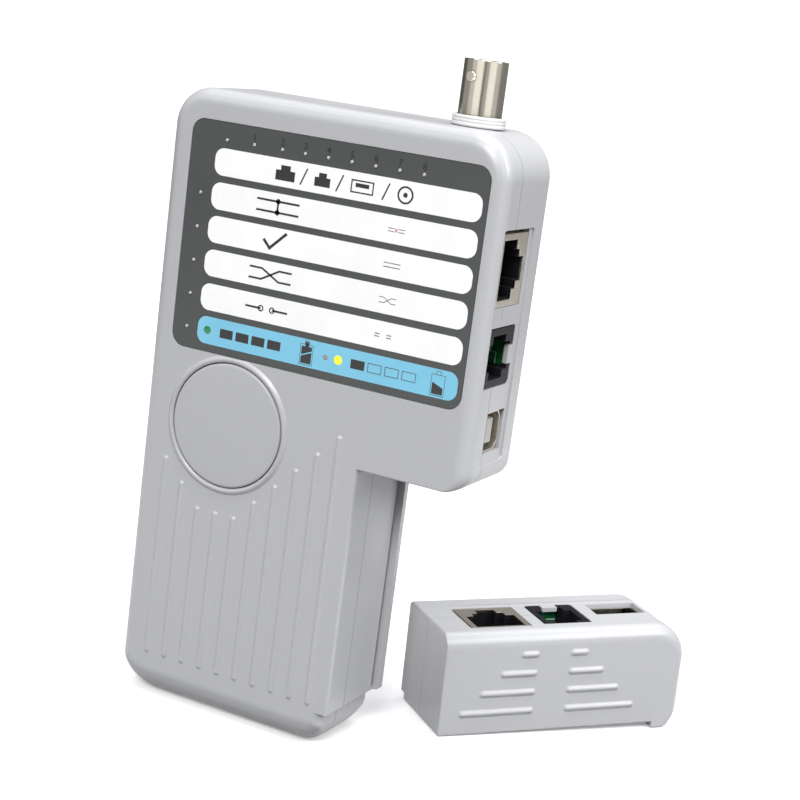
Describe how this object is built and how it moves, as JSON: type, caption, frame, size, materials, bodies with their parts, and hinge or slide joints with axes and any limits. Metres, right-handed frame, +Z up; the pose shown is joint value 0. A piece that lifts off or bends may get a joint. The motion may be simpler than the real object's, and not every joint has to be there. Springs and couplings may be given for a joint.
{
  "type": "network cable tester",
  "caption": "Handheld network cable tester: L-shaped main unit with label, test button, sockets on its side and a coaxial socket on top, and a detachable remote unit with its own sockets.",
  "frame": {"origin": "on the base plane of the main unit, at the middle of its head's width and of its depth", "axes": "+Z up along the main unit, -Y out of its labelled front, +X towards its row of sockets"},
  "size_m": [0.1181, 0.0963, 0.162],
  "materials": {
    "shell": "satin moulded plastic",
    "label": "printed film, satin",
    "black": "moulded",
    "white": "moulded",
    "nickel": "nickel plated",
    "tinned": "tinned sheet",
    "contact": "gold plated",
    "board": "green solder mask",
    "screw": "zinc plated",
    "lens": "diffuse LED body",
    "jacket": "printed steel jacket"
  },
  "bodies": {
    "main": {"front_shell": "shell", "rear_shell": "shell", "label_overlay": "label", "switch_body": "black", "pin_leds": "lens", "row_leds": "lens", "good_led": "lens", "low_leds": "lens", "main_board": "board", "controller_chip": "black", "port_board": "board", "rj45_shield": "tinned", "rj45_insert": "black", "rj45_contacts": "contact", "rj11_housing": "black", "rj11_contacts": "contact", "usb_b_shell": "tinned", "usb_b_tongue": "white", "bnc_barrel": "nickel", "bnc_collar": "white", "bnc_insulator": "white", "bnc_centre_contact": "contact", "bnc_nut": "nickel", "battery_9v": "jacket", "battery_snap": "black", "screw_1": "screw", "screw_2": "screw", "screw_3": "screw", "screw_4": "screw"},
    "button": {"test_button": "shell", "switch_plunger": "white"},
    "door": {"battery_door": "shell"},
    "remote": {"remote_front_shell": "shell", "remote_rear_shell": "shell", "remote_board": "board", "remote_rj45_shield": "tinned", "remote_rj45_insert": "black", "remote_rj45_contacts": "contact", "remote_rj11_housing": "black", "remote_rj11_contacts": "contact", "remote_usb_shell": "nickel", "remote_usb_tongue": "white", "remote_screw_1": "screw", "remote_screw_2": "screw"}
  },
  "joints": [
    {"name": "test_press", "type": "slide", "parent": "main", "child": "button", "axis": [0, 1, 0], "range_m": [0, 0.0008], "stiffness_N_per_m": 900},
    {"name": "door_hinge", "type": "hinge", "parent": "main", "child": "door", "pos_m": [0, 0.0113, 0.00915], "axis": [-1, 0, 0], "range_deg": [0, 75]},
    {"name": "remote_lift", "type": "slide", "parent": "main", "child": "remote", "axis": [0, 0, 1], "range_m": [0, 0.1]}
  ]
}
